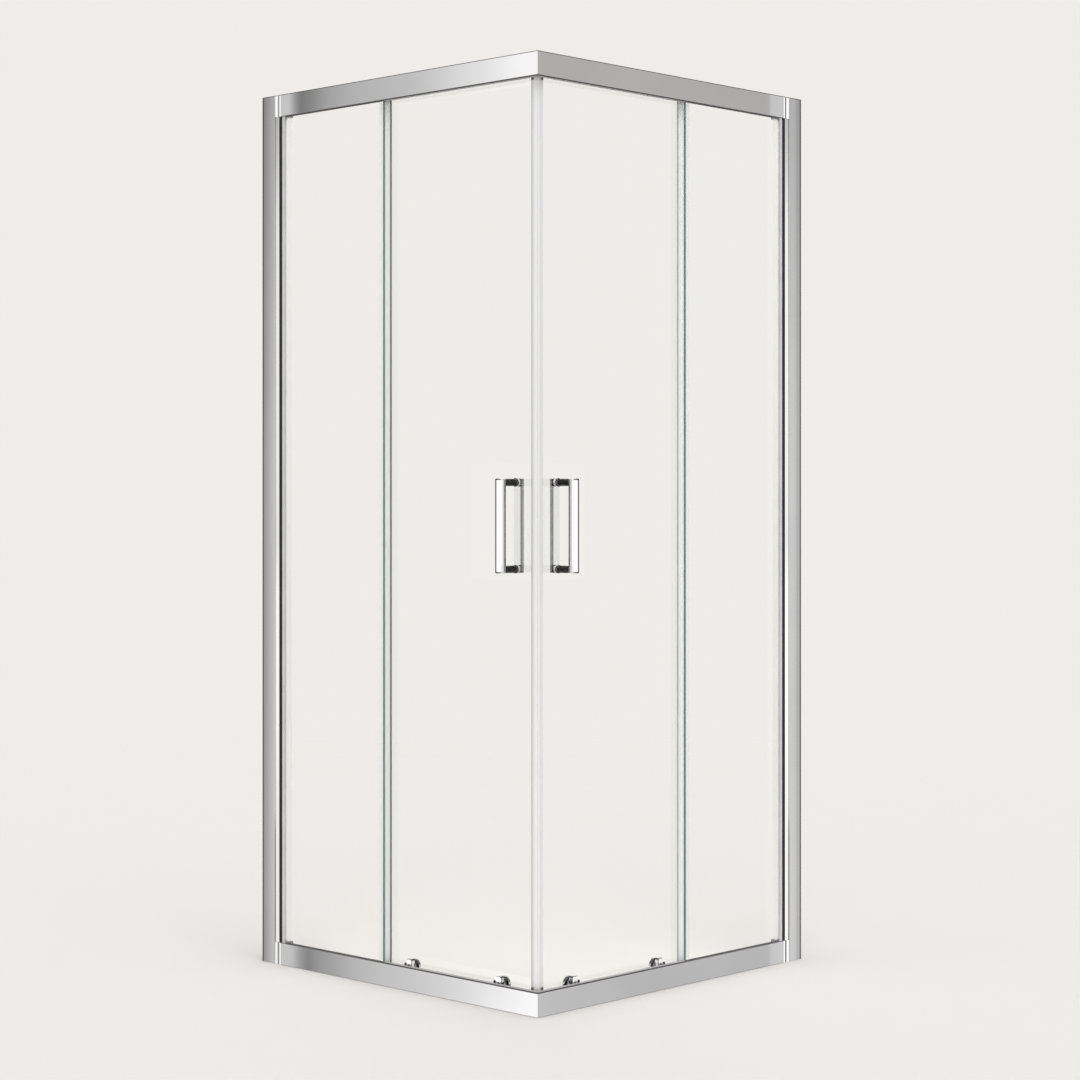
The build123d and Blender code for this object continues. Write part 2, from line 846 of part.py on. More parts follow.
def coil_spring(along):
    foot = (
        corner_offset + along + spring_along,
        corner_offset + spring_depth,
        spring_bottom + spring_wire,
    )
    length = spring_top - spring_bottom - 2 * spring_wire
    with BuildPart() as spring:
        with BuildLine() as path:
            Helix(pitch=length / spring_turns, height=length, radius=spring_radius, center=foot)
        with BuildSketch(Plane(path.line @ 0, z_dir=path.line % 0)):
            Circle(spring_wire)
        sweep()
    return spring


# Inner knobs: a disc with the screw that clamps the bracket through the pane
roller_holes = bottom_places + top_places
with BuildPart() as right_roller_knobs:
    rods(roller_holes, knob_radius, knob_front, knob_back)
    chamfer(right_roller_knobs.edges(), length=knob_chamfer)
    hexagons(roller_holes, screw_socket, knob_back - screw_socket_depth, knob_back)
    rods(roller_holes, screw_radius, plate_front + plate_gap, knob_front)

# Roller gaskets: a washer on each side of the pane, each with half a sleeve
front_washer_radius = 9.5
back_washer_radius = knob_radius - knob_chamfer
with BuildPart() as right_roller_gaskets:
    rods(roller_holes, front_washer_radius, plate_back, door_front)
    rods(roller_holes, sleeve_radius, door_front, pane_middle - half_sleeve_gap)
    rods(roller_holes, sleeve_radius, pane_middle + half_sleeve_gap, door_back)
    rods(roller_holes, back_washer_radius, door_back, knob_front)
    rods(roller_holes, screw_radius + screw_clearance, plate_back, knob_front, Mode.SUBTRACT)

right_rear_top_wheel = wheel(roller_places[1], top_axle)
right_front_top_wheel = wheel(roller_places[0], top_axle)
right_rear_bottom_wheel = wheel(roller_places[1], bottom_axle)
right_front_bottom_wheel = wheel(roller_places[0], bottom_axle)
right_rear_release_slider = release_slider(roller_places[1])
right_front_release_slider = release_slider(roller_places[0])
right_rear_release_spring = coil_spring(roller_places[1])
right_front_release_spring = coil_spring(roller_places[0])

shared = {
    "corner_connectors": corner_connectors,
    "connector_screws": connector_screws,
    "rail_end_caps": rail_end_caps,
    "post_screws": post_screws,
    "filler_strips": filler_strips,
    "door_stops": door_stops,
}
wing = {
    "wall_profile": right_wall_profile,
    "jamb_post": right_jamb_post,
    "top_rail": right_top_rail,
    "bottom_rail": right_bottom_rail,
    "fixed_glass": right_fixed_glass,
    "glazing_gasket": right_glazing_gasket,
    "door_glass": right_door_glass,
    "magnet_seal": right_magnet_seal,
    "magnet_core": right_magnet_core,
    "trailing_seal": right_trailing_seal,
    "handle_outer_bar": right_handle_outer_bar,
    "handle_inner_bar": right_handle_inner_bar,
    "handle_standoffs": right_handle_standoffs,
    "handle_gaskets": right_handle_gaskets,
    "handle_bolts": right_handle_bolts,
    "top_roller_brackets": right_top_roller_brackets,
    "bottom_roller_brackets": right_bottom_roller_brackets,
    "roller_knobs": right_roller_knobs,
    "roller_gaskets": right_roller_gaskets,
    "front_top_wheel": right_front_top_wheel,
    "rear_top_wheel": right_rear_top_wheel,
    "front_bottom_wheel": right_front_bottom_wheel,
    "rear_bottom_wheel": right_rear_bottom_wheel,
    "front_release_slider": right_front_release_slider,
    "rear_release_slider": right_rear_release_slider,
    "front_release_spring": right_front_release_spring,
    "rear_release_spring": right_rear_release_spring,
}

os.makedirs("parts", exist_ok=True)
for name, piece in shared.items():
    piece.part.label = name
    export_step(piece.part, f"parts/{name}.step")
for name, piece in wing.items():
    piece.part.label = f"right_{name}"
    export_step(piece.part, f"parts/right_{name}.step")
    with BuildPart() as mirrored:
        mirror(piece.part, about=diagonal)
    mirrored.part.label = f"left_{name}"
    export_step(mirrored.part, f"parts/left_{name}.step")
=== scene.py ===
import math

import bmesh
import bpy
from mathutils import Matrix, Vector


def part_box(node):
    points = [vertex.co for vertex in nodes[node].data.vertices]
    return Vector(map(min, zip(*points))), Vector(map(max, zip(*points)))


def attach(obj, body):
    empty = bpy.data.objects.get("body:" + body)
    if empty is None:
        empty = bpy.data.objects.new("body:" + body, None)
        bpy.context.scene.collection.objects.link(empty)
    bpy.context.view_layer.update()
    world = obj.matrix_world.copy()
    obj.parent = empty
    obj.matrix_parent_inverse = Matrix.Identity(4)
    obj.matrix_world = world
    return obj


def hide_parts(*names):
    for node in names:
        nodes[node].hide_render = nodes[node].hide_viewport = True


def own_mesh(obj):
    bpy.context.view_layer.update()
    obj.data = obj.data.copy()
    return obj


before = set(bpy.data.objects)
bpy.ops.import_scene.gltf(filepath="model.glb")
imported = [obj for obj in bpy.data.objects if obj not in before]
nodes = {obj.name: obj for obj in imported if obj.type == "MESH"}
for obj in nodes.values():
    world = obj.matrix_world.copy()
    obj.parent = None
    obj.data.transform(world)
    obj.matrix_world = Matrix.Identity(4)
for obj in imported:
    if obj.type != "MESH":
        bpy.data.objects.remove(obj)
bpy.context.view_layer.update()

# Places in the script are in metres. The outer corner of the two wings stands at cornerPlace,
# "along" runs from it towards a wall and "depth" from the outer face inwards.
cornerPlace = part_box("right_bottom_rail")[0].x
sides = ("right", "left")
ends = {"front": 0.128, "rear": 0.403}  # rollers, along the wing
rollerLevels = (0.048, 1.972)


def inWing(along, depth, height):
    return Vector((cornerPlace + along, cornerPlace + depth, height))


def clearSelection():
    if bpy.context.object and bpy.context.object.mode != "OBJECT":
        bpy.ops.object.mode_set(mode="OBJECT")
    bpy.ops.object.select_all(action="DESELECT")
    bpy.context.view_layer.objects.active = None


def makeActive(piece):
    clearSelection()
    piece.select_set(True)
    bpy.context.view_layer.objects.active = piece


def takeNew(name):
    piece = bpy.context.object
    piece.name = name
    piece.data.name = name
    return piece


def settlePlace():
    bpy.ops.object.transform_apply(location=True, rotation=True, scale=True)


def openEdit(piece):
    makeActive(piece)
    bpy.ops.object.mode_set(mode="EDIT")


def closeEdit():
    bpy.ops.object.mode_set(mode="OBJECT")


def pick(piece, kind, test):
    bpy.ops.mesh.select_mode(type=kind)
    bpy.ops.mesh.select_all(action="DESELECT")
    shape = bmesh.from_edit_mesh(piece.data)
    items = {"VERT": shape.verts, "EDGE": shape.edges, "FACE": shape.faces}[kind]
    for item in items:
        item.select_set(test(item))
    shape.select_flush_mode()
    bmesh.update_edit_mesh(piece.data)


def middleOf(item):
    spots = [v.co for v in item.verts]
    return sum(spots, Vector()) / len(spots)


def near(value, wanted, room=0.00005):
    return abs(value - wanted) < room


def cutAcross(place, normal):
    bpy.ops.mesh.select_all(action="SELECT")
    bpy.ops.mesh.bisect(plane_co=place, plane_no=normal)


def pushFaces(step):
    bpy.ops.mesh.extrude_region_move(TRANSFORM_OT_translate={"value": step})


def addBlock(name, low, high):
    clearSelection()
    bpy.ops.mesh.primitive_cube_add(size=1, location=(low + high) / 2)
    piece = takeNew(name)
    piece.scale = high - low
    settlePlace()
    return piece


def applyAll(piece):
    makeActive(piece)
    for step in list(piece.modifiers):
        bpy.ops.object.modifier_apply(modifier=step.name)


def roundEdges(piece, width, segments=3, angle=35):
    bevel = piece.modifiers.new("softEdges", "BEVEL")
    bevel.width = width
    bevel.segments = segments
    bevel.limit_method = "ANGLE"
    bevel.angle_limit = math.radians(angle)
    applyAll(piece)


def smoothPiece(piece, angle=35):
    makeActive(piece)
    bpy.ops.object.shade_smooth_by_angle(angle=math.radians(angle))


def turnFacesOut(piece):
    openEdit(piece)
    bpy.ops.mesh.select_all(action="SELECT")
    bpy.ops.mesh.remove_doubles(threshold=0.000002)
    bpy.ops.mesh.normals_make_consistent(inside=False)
    closeEdit()


# The other wing is the same wing seen in a mirror that stands on the corner's diagonal.
swapWings = Matrix(((0, 1, 0, 0), (1, 0, 0, 0), (0, 0, 1, 0), (0, 0, 0, 1)))


def copyToLeft(piece, name):
    makeActive(piece)
    bpy.ops.object.duplicate()
    copy = takeNew(name)
    copy.data.transform(swapWings)
    turnFacesOut(copy)
    return copy


cameraSetup = {
    "place": (-4.05462, -3.91553, 1.09068),
    "turn": 46.176,
    "lens": 81.15,
    "shiftDown": 0.0461,
}

bpy.ops.object.camera_add(
    location=cameraSetup["place"],
    rotation=(math.radians(90), 0, -math.radians(cameraSetup["turn"])),
)
camera = bpy.context.object
camera.name = "viewCamera"
camera.data.lens = cameraSetup["lens"]
camera.data.sensor_width = 36
camera.data.shift_y = -cameraSetup["shiftDown"]
bpy.context.scene.camera = camera
print("camera placed")


studio = {
    "backdrop": (0.863, 0.847, 0.815),
    "skyForLight": 0.74,
    "floorRadius": 7.0,
    "floorFadeFrom": 2.4,
    "floorFadeTo": 6.0,
    "sunStrength": 0.95,
    "sunAngle": 40,
}


def addNode(material, kind, **settings):
    made = material.node_tree.nodes.new(kind)
    for name, value in settings.items():
        setattr(made, name, value)
    return made


def startMaterial(name):
    material = bpy.data.materials.new(name)
    material.use_nodes = True
    shader = material.node_tree.nodes["Principled BSDF"]
    return material, shader, material.node_tree.links.new


def objectSpot(material, scale=(1, 1, 1)):
    place = addNode(material, "ShaderNodeTexCoord")
    mapping = addNode(material, "ShaderNodeMapping")
    mapping.inputs["Scale"].default_value = scale
    material.node_tree.links.new(place.outputs["Object"], mapping.inputs["Vector"])
    return mapping.outputs["Vector"]


def sumUp(material, operation, first, second):
    made = addNode(material, "ShaderNodeMath", operation=operation)
    for socket, value in zip(made.inputs, (first, second)):
        if isinstance(value, (int, float)):
            socket.default_value = value
        else:
            material.node_tree.links.new(value, socket)
    return made.outputs[0]


def splitUp(material, vector):
    parts = addNode(material, "ShaderNodeSeparateXYZ")
    material.node_tree.links.new(vector, parts.inputs[0])
    return parts.outputs


# Along, depth and height on either wing
def wingPlace(material):
    parts = splitUp(material, objectSpot(material))
    along = sumUp(material, "MAXIMUM", parts["X"], parts["Y"])
    depth = sumUp(material, "MINIMUM", parts["X"], parts["Y"])
    return (
        sumUp(material, "SUBTRACT", along, cornerPlace),
        sumUp(material, "SUBTRACT", depth, cornerPlace),
        parts["Z"],
    )


# Distance from the axle of the nearest roller: both ends and both levels are folded onto one
def aroundRoller(material, along, height):
    total = 0
    for source, (low, high) in ((along, tuple(ends.values())), (height, rollerLevels)):
        fold = sumUp(material, "ABSOLUTE", sumUp(material, "SUBTRACT", source, (low + high) / 2), 0)
        step = sumUp(material, "SUBTRACT", fold, (high - low) / 2)
        total = sumUp(material, "ADD", sumUp(material, "MULTIPLY", step, step), total)
    return sumUp(material, "SQRT", total, 0)


# 1 on rounded edges and slopes, 0 on faces that lie square: the mask for the painted dark reflection on the
# metals' rounded edges
def edgeShadeShare(material, slanted=0.88, square=0.985):
    geometry = addNode(material, "ShaderNodeNewGeometry")
    size = addNode(material, "ShaderNodeVectorMath", operation="ABSOLUTE")
    material.node_tree.links.new(geometry.outputs["Normal"], size.inputs[0])
    parts = splitUp(material, size.outputs[0])
    flat = sumUp(material, "MAXIMUM", parts["X"], parts["Y"])
    return spread(material, sumUp(material, "MAXIMUM", flat, parts["Z"]), slanted, square, 1, 0)


def addNoise(material, scale, spot, detail=3, roughness=0.5):
    noise = addNode(material, "ShaderNodeTexNoise")
    noise.inputs["Scale"].default_value = scale
    noise.inputs["Detail"].default_value = detail
    noise.inputs["Roughness"].default_value = roughness
    material.node_tree.links.new(spot, noise.inputs["Vector"])
    return noise.outputs["Fac"]


def spread(material, source, fromLow, fromHigh, toLow, toHigh):
    ranged = addNode(material, "ShaderNodeMapRange")
    for name, value in (("From Min", fromLow), ("From Max", fromHigh), ("To Min", toLow), ("To Max", toHigh)):
        ranged.inputs[name].default_value = value
    material.node_tree.links.new(source, ranged.inputs["Value"])
    return ranged.outputs["Result"]


# Each step is a place on the source and the grey level there
def stepped(material, source, steps):
    low, high = steps[0][0], steps[-1][0]
    ramp = addNode(material, "ShaderNodeValToRGB")
    marks = ramp.color_ramp.elements
    while len(marks) < len(steps):
        marks.new(0.5)
    for mark, (place, level) in zip(marks, steps):
        mark.position = (place - low) / (high - low)
        mark.color = (level, level, level, 1)
    material.node_tree.links.new(spread(material, source, low, high, 0, 1), ramp.inputs["Fac"])
    return ramp.outputs["Color"]


def mixColors(material, source, first, second, blend="MIX"):
    mix = addNode(material, "ShaderNodeMix", data_type="RGBA", blend_type=blend)
    for name, value in (("A", first), ("B", second)):
        if isinstance(value, tuple):
            mix.inputs[name].default_value = (*value, 1)
        else:
            material.node_tree.links.new(value, mix.inputs[name])
    if isinstance(source, (int, float)):
        mix.inputs["Factor"].default_value = source
    else:
        material.node_tree.links.new(source, mix.inputs["Factor"])
    return mix.outputs["Result"]


def addBump(material, height, shader, strength, distance):
    bump = addNode(material, "ShaderNodeBump")
    bump.inputs["Strength"].default_value = strength
    bump.inputs["Distance"].default_value = distance
    material.node_tree.links.new(height, bump.inputs["Height"])
    material.node_tree.links.new(bump.outputs["Normal"], shader.inputs["Normal"])


def makeWorld():
    world = bpy.data.worlds.new("paleRoom")
    bpy.context.scene.world = world
    world.use_nodes = True
    tree = world.node_tree
    tree.nodes.clear()
    path = tree.nodes.new("ShaderNodeLightPath")
    seen = tree.nodes.new("ShaderNodeBackground")
    lit = tree.nodes.new("ShaderNodeBackground")
    seen.inputs["Color"].default_value = (*studio["backdrop"], 1)
    lit.inputs["Color"].default_value = (1, 1, 1, 1)
    lit.inputs["Strength"].default_value = studio["skyForLight"]
    first = tree.nodes.new("ShaderNodeMath")
    second = tree.nodes.new("ShaderNodeMath")
    first.operation = second.operation = "MAXIMUM"
    tree.links.new(path.outputs["Is Camera Ray"], first.inputs[0])
    tree.links.new(path.outputs["Is Glossy Ray"], first.inputs[1])
    tree.links.new(first.outputs[0], second.inputs[0])
    tree.links.new(path.outputs["Is Transmission Ray"], second.inputs[1])
    mix = tree.nodes.new("ShaderNodeMixShader")
    output = tree.nodes.new("ShaderNodeOutputWorld")
    tree.links.new(second.outputs[0], mix.inputs["Fac"])
    tree.links.new(lit.outputs[0], mix.inputs[1])
    tree.links.new(seen.outputs[0], mix.inputs[2])
    tree.links.new(mix.outputs[0], output.inputs["Surface"])


def makeFloor():
    clearSelection()
    bpy.ops.mesh.primitive_circle_add(
        vertices=96, radius=studio["floorRadius"], fill_type="NGON", location=(0, 0, -0.0006)
    )
    floor = takeNew("paleFloor")
    settlePlace()
    material, shader, link = startMaterial("paleFloorPaint")
    shader.inputs["Base Color"].default_value = (*studio["backdrop"], 1)
    shader.inputs["Roughness"].default_value = 0.9
    shader.inputs["Specular IOR Level"].default_value = 0.0
    length = addNode(material, "ShaderNodeVectorMath", operation="LENGTH")
    link(objectSpot(material), length.inputs[0])
    fade = spread(material, length.outputs["Value"], studio["floorFadeFrom"], studio["floorFadeTo"], 0, 1)
    clear = addNode(material, "ShaderNodeBsdfTransparent")
    mix = addNode(material, "ShaderNodeMixShader")
    link(fade, mix.inputs["Fac"])
    link(shader.outputs[0], mix.inputs[1])
    link(clear.outputs[0], mix.inputs[2])
    link(mix.outputs[0], material.node_tree.nodes["Material Output"].inputs["Surface"])
    floor.data.materials.append(material)
    floor.visible_glossy = False


# Reflector cards: they show only in what is polished, and light nothing.
# "glow" gives places across the card and the brightness there.
roomCards = {
    "overheadCard": {"middle": (0, 0, 4.2), "size": (5, 5), "turn": (180, 0, 0), "glow": 1.7},
    "behindCameraCard": {"middle": (-6.4, -6.2, 1.6), "size": (4.2, 5), "turn": (90, 0, -46), "glow": 1.9},
}
stripDistance = 1.2
brightest = 2
stripCards = {
    "leftTopStrip": {"side": "left", "heights": (2.12, 2.32), "glow": (
        (0.25, 1.9), (0.354, 1.85), (0.521, 1.48), (0.742, 1.06), (0.979, 0.94), (1.10, 0.74),
        (1.17, 0.50), (1.22, 0.38), (1.245, 0.62), (1.27, 1.12), (1.31, 1.12),
    )},
    "leftBottomStrip": {"side": "left", "heights": (-0.32, -0.148), "glow": (
        (0.25, 1.95), (0.354, 1.90), (0.521, 1.62), (0.742, 1.22), (0.979, 0.98), (1.10, 0.72),
        (1.15, 0.60), (1.19, 0.46), (1.225, 0.66), (1.26, 1.10), (1.31, 1.15),
    )},
    "leftUprightStrip": {"side": "left", "heights": (-0.34, 2.34), "glow": (
        (1.311, 1.12), (1.335, 1.12), (1.345, 1.0), (1.375, 0.62), (1.43, 0.42),
    )},
    "rightBottomStrip": {"side": "right", "heights": (-0.32, -0.148), "glow": (
        (0.25, 1.10), (0.521, 1.02), (0.979, 0.97), (1.31, 0.95),
    )},
    "rightUprightStrip": {"side": "right", "heights": (-0.34, 2.34), "glow": (
        (1.311, 1.15), (1.335, 1.15), (1.345, 1.15), (1.43, 1.25),
    )},
    "leftHandleStrip": {"side": "left", "heights": (0.86, 1.16), "glow": ((0.36, 1.16), (0.60, 1.16))},
    "rightHandleStrip": {"side": "right", "heights": (0.86, 1.16), "glow": ((0.36, 1.16), (0.60, 1.16))},
}


def hideFromAllButShine(card):
    card.visible_camera = False
    card.visible_diffuse = False
    card.visible_transmission = False
    card.visible_shadow = False
    card.visible_volume_scatter = False


def makeCards():
    for name, facts in roomCards.items():
        clearSelection()
        turn = [math.radians(a) for a in facts["turn"]]
        bpy.ops.mesh.primitive_plane_add(size=1, location=facts["middle"], rotation=turn)
        card = takeNew(name)
        card.scale = (*facts["size"], 1)
        settlePlace()
        material, shader, link = startMaterial(name + "Glow")
        glow = addNode(material, "ShaderNodeEmission")
        glow.inputs["Strength"].default_value = facts["glow"]
        link(glow.outputs[0], material.node_tree.nodes["Material Output"].inputs["Surface"])
        card.data.materials.append(material)
        hideFromAllButShine(card)
    for name, facts in stripCards.items():
        low, high = facts["glow"][0][0], facts["glow"][-1][0]
        bottom, top = facts["heights"]
        across, middle = (low + high) / 2, (bottom + top) / 2
        onLeft = facts["side"] == "left"
        quarter = math.radians(90)
        clearSelection()
        bpy.ops.mesh.primitive_plane_add(
            size=1,
            location=(-stripDistance, across, middle) if onLeft else (across, -stripDistance, middle),
            rotation=(0, quarter, 0) if onLeft else (quarter, 0, 0),
        )
        card = takeNew(name)
        card.scale = (top - bottom, high - low, 1) if onLeft else (high - low, top - bottom, 1)
        settlePlace()
        material, shader, link = startMaterial(name + "Glow")
        parts = splitUp(material, objectSpot(material))
        steps = [(place, level / brightest) for place, level in facts["glow"]]
        glow = addNode(material, "ShaderNodeEmission")
        glow.inputs["Strength"].default_value = brightest
        link(stepped(material, parts["Y" if onLeft else "X"], steps), glow.inputs["Color"])
        link(glow.outputs[0], material.node_tree.nodes["Material Output"].inputs["Surface"])
        card.data.materials.append(material)
        hideFromAllButShine(card)


def makeLamps():
    clearSelection()
    bpy.ops.object.light_add(type="SUN", rotation=(math.radians(28), math.radians(-18), 0))
    sun = bpy.context.object
    sun.name = "softSun"
    sun.data.energy = studio["sunStrength"]
    sun.data.angle = math.radians(studio["sunAngle"])
    sun.visible_glossy = False


makeWorld()
makeFloor()
makeCards()
makeLamps()
bpy.context.scene.view_settings.view_transform = "Standard"
print("floor, cards and light are in place")


# Looks of metals. "edge" is the painted dark reflection on rounded edges, or its steps along the wing;
# "bands" gives painted reflection and shade as tones by a place's direction; "rim" is a painted dark
# line of shade at the top; "roughBehind" is mill finish from a depth on; "front" gives the depth where
# frontAlong and frontHeight bands end, and the value that they read behind it.
# Painted shade: a darker line along the top of upright faces
topRimShade = (1.9979, 0.16)
railMetal = {
    "dark": (0.475, 0.47, 0.472), "light": (0.525, 0.52, 0.522), "roughness": (0.025, 0.05),
    "edge": 0.10, "rim": topRimShade,
}
# Painted reflection and shade: a dark outline and a dark strip at the wall edge, and darker towards the top
profileMetal = {
    "dark": (0.48, 0.475, 0.477), "light": (0.52, 0.515, 0.517), "roughness": (0.03, 0.06), "rim": topRimShade,
    "edge": ((0.84, 0.62), (0.86, 0.60), (0.87, 0.03), (0.886, 0.03)),
    "bands": (
        ("along", ((0.840, 1.0), (0.8790, 1.0), (0.8806, 0.45), (0.8822, 0.22), (0.8860, 0.22))),
        ("height", ((0.0, 1.0), (1.10, 1.0), (1.40, 0.95), (1.60, 0.88), (1.80, 0.80), (2.0, 0.76))),
    ),
}
# Painted reflection: the front face's tone steps with height, and rounded edges are painted darker
postMetal = {
    "dark": (0.98, 0.98, 0.98), "light": (1.0, 1.0, 1.0), "roughness": (0.04, 0.08),
    "edge": 0.6, "rim": topRimShade, "roughBehind": (0.008, 0.55),
    "front": {"limit": 0.0030, "Height": 2.5},
    "bands": (("frontHeight", (
        (0.0, 0.82), (0.35, 0.80), (0.60, 0.90), (0.85, 0.90), (0.97, 0.75), (1.20, 0.79), (1.50, 0.79),
        (1.70, 0.75), (1.83, 0.59), (1.95, 0.45), (2.10, 0.45), (2.40, 1.0), (2.50, 1.0),
    )),),
}
chromeMetal = {
    "dark": (0.84, 0.84, 0.845), "light": (0.92, 0.92, 0.925), "roughness": (0.02, 0.05), "edge": 0.05,
}
# Painted highlights and shade of the flutes: bright lines and dark grooves along the wing
capMetal = dict(chromeMetal, edge=0.45, rim=topRimShade, bands=(("along", (
    (0.8190, 0.20), (0.8198, 1.0), (0.8256, 1.0), (0.8263, 0.08), (0.8290, 0.08), (0.8297, 1.0),
    (0.8383, 1.0), (0.8391, 0.30), (0.8420, 0.30),
)),))
# Painted shade: the bar's sides darken with depth, and the ends of its front face are painted dark
outerBarMetal = dict(
    chromeMetal,
    front={"limit": -0.0244, "Along": 0.088, "Height": 1.016},
    edge=((0.077, 1.0), (0.084, 0.95), (0.092, 0.04), (0.099, 0.02)),
    bands=(
        ("depth", (
            (-0.0268, 1.0), (-0.0250, 1.0), (-0.0240, 0.84), (-0.0200, 0.76), (-0.0178, 0.60),
            (-0.0162, 0.12), (-0.0145, 0.03), (-0.0140, 0.03), (-0.0137, 0.90), (-0.0133, 0.90),
        )),
        ("frontHeight", (
            (0.9165, 0.04), (0.9196, 0.06), (0.9204, 1.0), (1.1116, 1.0), (1.1124, 0.06), (1.1155, 0.04),
        )),
        ("frontAlong", ((0.0770, 1.0), (0.0930, 1.0), (0.0940, 0.45), (0.0952, 0.03), (0.0990, 0.02))),
    ),
)
# Painted shade: a dark line and a darker band by depth on the bar's sides
innerBarMetal = dict(chromeMetal, bands=(("depth", (
    (0.0328, 1.0), (0.0332, 1.0), (0.0336, 0.08), (0.0346, 0.10), (0.0352, 0.55), (0.0420, 0.72),
    (0.0432, 0.9),
)),))
# Near-black screw metal: painted shade of the housing's recess
darkScrewMetal = {"dark": (0.02, 0.02, 0.021), "light": (0.035, 0.035, 0.036), "roughness": (0.2, 0.35)}
steelMetal = {"dark": (0.40, 0.40, 0.41), "light": (0.56, 0.56, 0.57), "roughness": (0.22, 0.38)}
zincMetal = {"dark": (0.33, 0.34, 0.35), "light": (0.46, 0.47, 0.48), "roughness": (0.4, 0.6)}

softStep, millStep = 0.0004, 0.002  # a tone and a roughness change over these distances


def makeMetal(name, look, stretch=(60, 60, 60), bumpHeight=0.00002):
    material, shader, link = startMaterial(name)
    shader.inputs["Metallic"].default_value = 1
    place = dict(zip(("along", "depth", "height"), wingPlace(material)))
    front = dict(look.get("front", {}))
    if front:
        limit = front.pop("limit")
        onFront = spread(material, place["depth"], limit, limit + softStep, 1, 0)
        for direction, behind in front.items():
            offset = sumUp(material, "SUBTRACT", place[direction.lower()], behind)
            kept = sumUp(material, "MULTIPLY", offset, onFront)
            place["front" + direction] = sumUp(material, "ADD", kept, behind)
    streaks = addNoise(material, 6, objectSpot(material, stretch), detail=4)
    clouds = addNoise(material, 3, objectSpot(material), detail=2)
    color = mixColors(material, spread(material, clouds, 0.3, 0.7, 0, 1), look["dark"], look["light"])
    # Painted reflection and shade: each band multiplies the colour by a tone
    for direction, steps in look.get("bands", ()):
        color = mixColors(material, 1.0, color, stepped(material, place[direction], steps), "MULTIPLY")
    # Painted shade: a darker line at the top of faces that stand upright
    if "rim" in look:  # only where the face still stands upright
        start, tone = look["rim"]
        parts = splitUp(material, addNode(material, "ShaderNodeNewGeometry").outputs["Normal"])
        upright = spread(material, parts["Z"], 0.8, 0.95, 1, 0)
        above = spread(material, place["height"], start, start + softStep, 0, 1)
        color = mixColors(material, sumUp(material, "MULTIPLY", above, upright), color, (tone,) * 3)
    # Painted dark reflection on rounded edges and slopes
    if "edge" in look:
        edge = look["edge"]
        tone = stepped(material, place["along"], edge) if isinstance(edge, tuple) else (edge,) * 3
        color = mixColors(material, edgeShadeShare(material), color, tone)
    link(color, shader.inputs["Base Color"])
    link(color, shader.inputs["Specular Tint"])
    rough = spread(material, streaks, 0.3, 0.7, *look["roughness"])
    if "roughBehind" in look:
        start, level = look["roughBehind"]
        milled = spread(material, place["depth"], start, start + millStep, 0, level)
        rough = sumUp(material, "MAXIMUM", rough, milled)
    link(rough, shader.inputs["Roughness"])
    addBump(material, streaks, shader, 0.05, bumpHeight)
    return material


def makeRubber(
    name, dark, light, roughness, grain=900, bumpHeight=0.00005, bands=None, levelHighlight=None, paneGlowPaint=None
):
    material, shader, link = startMaterial(name)
    shader.inputs["Specular IOR Level"].default_value = 0.2
    spot = objectSpot(material)
    noise = addNoise(material, grain, spot, detail=3)
    clouds = addNoise(material, 14, spot, detail=2)
    color = mixColors(material, spread(material, clouds, 0.35, 0.65, 0, 1), dark, light)
    # Tones by place: painted shade on the gasket, a painted highlight on the standoffs
    if bands:
        place = dict(zip(("along", "depth", "height"), wingPlace(material)))
        place["around"] = aroundRoller(material, place["along"], place["height"])
        direction, steps = bands
        color = mixColors(material, 1.0, color, stepped(material, place[direction], steps), "MULTIPLY")
    if levelHighlight:  # painted highlight: the lip's own level faces are paler
        parts = splitUp(material, addNode(material, "ShaderNodeNewGeometry").outputs["Normal"])
        level = spread(material, sumUp(material, "ABSOLUTE", parts["Z"], 0), 0.6, 0.8, 0, 1)
        color = mixColors(material, level, color, levelHighlight)
    if paneGlowPaint:  # painted glow: the lip's face that lies against the pane glows, standing in for light the pane brings
        share = spread(material, place["along"], paneGlowPaint["from"], paneGlowPaint["from"] + 0.005, 0, 1)
        strength = sumUp(material, "MULTIPLY", share, stepped(material, place["depth"], paneGlowPaint["steps"]))
        link(strength, shader.inputs["Emission Strength"])
    link(color, shader.inputs["Base Color"])
    link(spread(material, noise, 0.3, 0.7, *roughness), shader.inputs["Roughness"])
    addBump(material, noise, shader, 0.25, bumpHeight)
    return material


paneLook = {"clear": (0.985, 0.995, 0.99), "edge": (0.20, 0.31, 0.29), "ior": 1.5}


# The broad faces are clear; the cut edges show the green of the glass's own depth.
def makeGlass(name, broadAxis):
    material, shader, link = startMaterial(name)
    shader.inputs["IOR"].default_value = paneLook["ior"]
    geometry = addNode(material, "ShaderNodeNewGeometry")
    parts = splitUp(material, geometry.outputs["Normal"])
    broad = sumUp(material, "ABSOLUTE", parts[broadAxis], 0)
    cutEdge = spread(material, broad, 0.75, 0.9, 1, 0)
    link(mixColors(material, cutEdge, paneLook["clear"], paneLook["edge"]), shader.inputs["Base Color"])
    link(spread(material, cutEdge, 0, 1, 1, 0.25), shader.inputs["Transmission Weight"])
    smudge = addNoise(material, 2.5, objectSpot(material), detail=2)
    link(spread(material, smudge, 0.45, 0.8, 0, 0.02), shader.inputs["Roughness"])
    return material


# Painted shade across the seals' rounded faces, as tones along the wing
whiteSealShading = {
    "right": ((0.020, 0.99), (0.0255, 0.93), (0.029, 0.84), (0.034, 0.82), (0.037, 0.90), (0.041, 0.86)),
    "left": ((0.020, 1.0), (0.029, 1.0), (0.033, 0.90), (0.0365, 0.68), (0.041, 0.62)),
}
